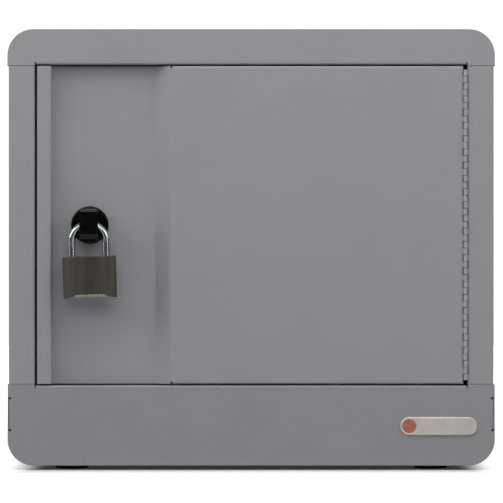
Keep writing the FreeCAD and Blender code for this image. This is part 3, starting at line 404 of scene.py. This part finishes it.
def driveScrews(name, screws):
    node, body = screws["node"], screws["body"]
    model = modelScrew(screwSizes[screws["size"]], screws["length"])
    facing = Vector(screws["headWay"]).to_track_quat("Z", "Y").to_matrix().to_4x4()
    copies = []
    for i, spot in enumerate(screws["spots"]):
        copy = duplicate(model)
        twist = Matrix.Rotation(math.radians(screwShape["twist"] * (i + 1)), 4, "Z")
        copy.matrix_world = Matrix.Translation(Vector(spot) * mm) @ facing @ twist
        copies.append(copy)
    bpy.data.objects.remove(model)
    piece = settle(copies, name)
    piece.data.materials.append(zincPlate)
    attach(piece, body)
    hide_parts(node)


sideX = 222.8  # the middle of the rear flanges
screwSets = {  # shank lengths, the ways that the heads look, and where they bear
    "rear_cross_screws": {
        "node": "rear_panel_screws", "body": "cabinet", "size": "case", "length": 6.5, "headWay": (0, 1, 0),
        "spots": [(x, 233, z) for z in (95.9, 196.1, 302.98, 379.8) for x in (-sideX, sideX)],
    },
    "strip_cross_screws": {
        "node": "strip_screws", "body": "cabinet", "size": "case", "length": 3.0, "headWay": (0, -1, 0),
        "spots": [(x, 228.6, z) for z in (152.6, 272.6) for x in (-sideX, sideX)],
    },
    "foot_cross_screws": {
        "node": "foot_screws", "body": "cabinet", "size": "foot", "length": 8.1, "headWay": (0, 0, -1),
        "spots": [(x, y, 2.6) for y in (-177, 199) for x in (-174, 174)],
    },
    "box_cross_screws": {
        "node": "box_screws", "body": "cabinet", "size": "case", "length": 2.6, "headWay": (0, 0, 1),
        "spots": [(128, y, 7.3) for y in (87.3, 223.3)],
    },
    "inlet_cross_screws": {
        "node": "inlet_screws", "body": "cabinet", "size": "inlet", "length": 3.7, "headWay": (0, 1, 0),
        "spots": [(x, 235.5, 44.5) for x in (95.5, 160.5)],
    },
    "cam_cross_screw": {
        "node": "cam_screw", "body": "knob", "size": "cam", "length": 7.95, "headWay": (0, 1, 0),
        "spots": [(-155.3, -189, 235.5)],
    },
}
for name, screws in screwSets.items():
    driveScrews(name, screws)
print("screws driven")


# Curled roots of the hinge's knuckles

hingeRoots = {  # millimetres
    "low": 86.275,  # the hinge's lower end
    "pitch": 6.35,
    "count": 47,  # knuckles
    "tall": 5.6,
    "deep": 0.9,
    "round": 0.25,
    # each leaf's first knuckle, its roots' left and right edges, and their front
    "door": {"first": 1, "span": (202.5, 203.95), "front": -218.5},
    "cabinet": {"first": 0, "span": (207.55, 208.5), "front": -218.3},
}


def curlRoots(body):
    # where the sheet of every second knuckle runs into its own leaf, the gap beside the barrel is closed
    look = hingeRoots
    left, right = look[body]["span"]
    clearSelection()
    bpy.ops.mesh.primitive_cube_add(size=1)
    model = bpy.context.object
    model.scale = ((right - left) * mm, look["deep"] * mm, look["tall"] * mm)
    bpy.ops.object.transform_apply(location=False, rotation=False, scale=True)
    pick(model, "EDGE", lambda edge: all(v.co.y < 0 for v in edge.verts))
    bpy.ops.mesh.bevel(offset=look["round"] * mm, segments=3)
    bpy.ops.object.mode_set(mode="OBJECT")
    bpy.ops.object.shade_smooth_by_angle(angle=smoothAngle)
    copies = []
    for i in range(look[body]["first"], look["count"], 2):
        copy = duplicate(model)
        height = look["low"] + (i + 0.5) * look["pitch"]
        copy.location = Vector(((left + right) / 2, look[body]["front"] + look["deep"] / 2, height)) * mm
        copies.append(copy)
    bpy.data.objects.remove(model)
    piece = settle(copies, f"hinge_roots_{body}")
    piece.data.materials.append(hingeCoatPaintedLight)
    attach(piece, body)


curlRoots("door")
curlRoots("cabinet")
print("hinge roots curled")


# Digits on the padlock's dials

dialDigits = {  # millimetres
    "pivot": (-155.9, -229.5, 233.6),  # the padlock hangs from here
    "tilt": 1.7,  # degrees
    "axleZ": 172.0,
    "pitch": 7.4,  # from one dial to the next
    "radius": 6.0,  # of a dial
    "count": 10,
    "size": 2.8,
    "proud": 0.08,
    "thick": 0.24,
}


def stampDigits(dial):
    look = dialDigits
    pivot = Vector(look["pivot"]) * mm
    hang = turnAbout(pivot, -look["tilt"], "Y")
    x, y, _ = look["pivot"]
    middle = Vector((x + (dial - 2.5) * look["pitch"], y, look["axleZ"])) * mm  # of this dial, of four
    digits = []
    for digit in range(look["count"]):
        angle = 2 * math.pi * digit / look["count"]
        out = Vector((0, math.cos(angle), math.sin(angle)))
        up = Vector((0, math.sin(angle), -math.cos(angle)))
        clearSelection()
        bpy.ops.object.text_add()
        mark = bpy.context.object
        mark.data.body = str(digit)
        mark.data.align_x = "CENTER"
        mark.data.align_y = "CENTER"
        mark.data.size = look["size"] * mm
        mark.data.extrude = look["thick"] / 2 * mm
        mark.data.resolution_u = 3  # enough for so small a digit
        bpy.ops.object.convert(target="MESH")
        spot = middle + out * (look["radius"] + look["proud"] - look["thick"] / 2) * mm
        face = Matrix((Vector((1, 0, 0)), up, out)).transposed().to_4x4()
        mark.matrix_world = hang @ Matrix.Translation(spot) @ face
        digits.append(mark)
    piece = settle(digits, f"dial_digits_{dial}")
    piece.data.materials.append(stampInk)
    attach(piece, f"dial_{dial}")


for dial in range(1, 5):
    stampDigits(dial)
print("digits stamped")


# On and off marks of the rear switch

switchMarks = {  # millimetres
    "pivot": (112.0, 233.5, 44.5),
    "tilt": 7.0,  # degrees, the key's upper end is pressed in at rest
    "faceY": 235.5,
    "ridge": 1.6,  # the key's ridge stands this far out
    "reach": 9.5,  # from the ridge to each end
    "markAt": 5.2,  # from the ridge
    "barSize": (0.9, 3.4),
    "barRound": 0.2,
    "ring": (1.85, 0.6),  # radius and stroke
    "thick": 0.1,
    "sink": 0.03,  # of that, below the key's face
}


def printSwitchMarks():
    look = switchMarks
    slope = math.atan2(look["ridge"], look["reach"])
    pivot = Vector(look["pivot"]) * mm
    press = turnAbout(pivot, look["tilt"], "X")
    marks = []
    for way in (1, -1):  # the ring above the ridge, the bar below
        clearSelection()
        if way > 0:
            radius, stroke = (value * mm for value in look["ring"])
            bpy.ops.mesh.primitive_circle_add(vertices=40, radius=radius, fill_type="NGON")
            mark = bpy.context.object
            pick(mark, "FACE", lambda face: True)
            bpy.ops.mesh.inset(thickness=stroke)
            bpy.ops.mesh.delete(type="FACE")
            pick(mark, "FACE", lambda face: True)
        else:
            bpy.ops.mesh.primitive_plane_add(size=1)
            mark = bpy.context.object
            mark.scale = (look["barSize"][0] * mm, look["barSize"][1] * mm, 1)
            bpy.ops.object.transform_apply(location=False, rotation=False, scale=True)
            pick(mark, "FACE", lambda face: True)
            bpy.ops.mesh.bevel(offset=look["barRound"] * mm, segments=3, affect="VERTICES")
            pick(mark, "FACE", lambda face: True)
        bpy.ops.mesh.extrude_region_move(TRANSFORM_OT_translate={"value": (0, 0, look["thick"] * mm)})
        bpy.ops.mesh.select_all(action="SELECT")
        bpy.ops.mesh.normals_make_consistent(inside=False)
        bpy.ops.object.mode_set(mode="OBJECT")
        out = Vector((0, math.cos(slope), way * math.sin(slope)))
        up = Vector((0, -way * math.sin(slope), math.cos(slope)))
        across = up.cross(out)
        x, _, z = look["pivot"]
        rise = look["ridge"] * (1 - look["markAt"] / look["reach"])
        foot = Vector((x, look["faceY"] + rise, z + way * look["markAt"]))
        face = Matrix((across, up, out)).transposed().to_4x4()
        mark.matrix_world = press @ Matrix.Translation((foot - out * look["sink"]) * mm) @ face
        marks.append(mark)
    piece = settle(marks, "switch_marks")
    piece.data.materials.append(whiteInk)
    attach(piece, "rocker")


printSwitchMarks()
print("switch marked")


# Stage

studio = {
    "lookAt": (0.3 * mm, -219 * mm, 210 * mm),
    "distance": 4.0,  # metres from the door to the camera
    "frameWidth": 482.9 * mm,  # what the picture takes in at the door
    "sensor": 36,  # millimetres
    "clip": 50,  # metres
    "sky": 0.06,  # what the white cove adds to the light
    "backdrop": 1.05,  # what the camera sees of it
    "floor": {"size": 8, "middle": (0, 1, 0)},  # metres
    "footprint": ((0, 11 * mm), (208 * mm, 230 * mm)),  # middle and half sizes of the case on the paper
    "sideFade": 3.5,  # the paper brightens so many times faster at the sides than in front
    # the paper's painted glow: from and to so many millimetres outside the footprint, and the brightness
    # there
    "paperGlow": ((-45, 130, 0.03, 0.80), (100, 900, 0, 0.6)),
}
softboxes = {  # place, size in metres, watts
    "overhead_box": {"place": (0, -0.9, 1.9), "size": (1.6, 1.2), "power": 17},
    "high_left_box": {"place": (-1.3, -1.6, 1.5), "size": (1.2, 1.2), "power": 5.8},
    "high_right_box": {"place": (1.3, -1.6, 1.5), "size": (1.2, 1.2), "power": 7},
    "left_box": {"place": (-2, -1, 1.25), "size": (1.0, 1.1), "power": 14.5},
    "right_box": {"place": (2, -1, 1.25), "size": (1.0, 1.1), "power": 7.6},
    "left_strip": {"place": (-2.2, -0.6, 0.5), "size": (0.4, 1.2), "power": 2.4},
    "right_strip": {"place": (1.5, -2, 0.5), "size": (0.4, 1.2), "power": 3.6},
    "front_box": {"place": (0, -3.3, 1.7), "size": (2.0, 1.2), "power": 20.8},
    "rear_box": {"place": (0.6, 2.8, 1.5), "size": (1.6, 1.2), "power": 34},
}


def addFloor():
    clearSelection()
    bpy.ops.mesh.primitive_plane_add(size=studio["floor"]["size"], location=studio["floor"]["middle"])
    floor = bpy.context.object
    floor.name = "floor"
    bpy.ops.object.transform_apply(location=True, rotation=False, scale=False)
    # matt white background paper, very slightly uneven
    paper = makeFinish("matt_white_paper", {
        "tones": ("#c4c4c4", "#c8c8c8"), "mottle": 300, "grain": 2,
        "rough": (0.88, 0.94), "bump": 0.02, "round": 0.1,
        "sockets": {"Specular IOR Level": 0.2, "Emission Color": (1, 1, 1, 1)},
    })
    floor.data.materials.append(paper)
    # the paper gets a painted glow, seen by the camera only, that rises from the cabinet's footprint
    # outwards: painted light that whitens the paper, kept low close round the case so that a painted shadow
    # is left there, and faint under it
    tree = paper.node_tree
    centre, half = studio["footprint"]
    place = addNode(tree, "ShaderNodeTexCoord").outputs["Object"]
    steps = (  # distance past the footprint's edges
        ("SUBTRACT", {1: (*centre, 0)}),
        ("ABSOLUTE", {}),
        ("SUBTRACT", {1: (*half, 0)}),
        ("MULTIPLY", {1: (studio["sideFade"], 1, 0)}),
    )
    for operation, values in steps:
        step = addNode(tree, "ShaderNodeVectorMath", {"operation": operation}, values, {0: place})
        place = step.outputs["Vector"]
    apart = addNode(tree, "ShaderNodeSeparateXYZ", {}, {}, {0: place}).outputs
    away = addNode(tree, "ShaderNodeMath", {"operation": "MAXIMUM"}, {}, {0: apart["X"], 1: apart["Y"]})
    rises = []
    for start, end, low, high in studio["paperGlow"]:
        rise = addNode(tree, "ShaderNodeMapRange", {"interpolation_type": "SMOOTHERSTEP"},
                       {"From Min": start * mm, "From Max": end * mm, "To Min": low, "To Max": high},
                       {"Value": away.outputs["Value"]})
        rises.append(rise.outputs["Result"])
    glow = addNode(tree, "ShaderNodeMath", {"operation": "ADD"}, {}, {0: rises[0], 1: rises[1]})
    seen = addNode(tree, "ShaderNodeLightPath").outputs["Is Camera Ray"]
    shown = addNode(tree, "ShaderNodeMath", {"operation": "MULTIPLY"}, {},
                    {0: glow.outputs["Value"], 1: seen})
    tree.links.new(shown.outputs["Value"], tree.nodes["Principled BSDF"].inputs["Emission Strength"])


def addLight(name, box):
    bpy.ops.object.light_add(type="AREA", location=box["place"])
    light = bpy.context.object
    light.name = name
    light.data.shape = "RECTANGLE"
    light.data.size, light.data.size_y = box["size"]
    light.data.energy = box["power"]
    aim = Vector(studio["lookAt"]) - Vector(box["place"])
    light.rotation_euler = aim.to_track_quat("-Z", "Y").to_euler()


def addWorld():
    world = bpy.data.worlds.new("white_cove")
    world.use_nodes = True
    bpy.context.scene.world = world
    tree = world.node_tree
    white = (1, 1, 1, 1)
    sky = tree.nodes["Background"]
    sky.inputs["Strength"].default_value = studio["sky"]
    sky.inputs["Color"].default_value = white
    seen = addNode(tree, "ShaderNodeBackground", {}, {"Color": white, "Strength": studio["backdrop"]})
    ray = addNode(tree, "ShaderNodeLightPath")
    mix = addNode(tree, "ShaderNodeMixShader", {}, {}, {
        "Fac": ray.outputs["Is Camera Ray"], 1: sky.outputs["Background"], 2: seen.outputs["Background"]})
    tree.links.new(mix.outputs["Shader"], tree.nodes["World Output"].inputs["Surface"])


def addCamera():
    x, y, z = studio["lookAt"]
    bpy.ops.object.camera_add(location=(x, y - studio["distance"], z), rotation=(math.pi / 2, 0, 0))
    camera = bpy.context.object
    camera.data.sensor_width = studio["sensor"]
    camera.data.lens = studio["sensor"] * studio["distance"] / studio["frameWidth"]
    camera.data.clip_end = studio["clip"]
    bpy.context.scene.camera = camera


addFloor()
for name, box in softboxes.items():
    addLight(name, box)
addWorld()
addCamera()
bpy.context.scene.view_settings.view_transform = "Standard"
print("stage set")
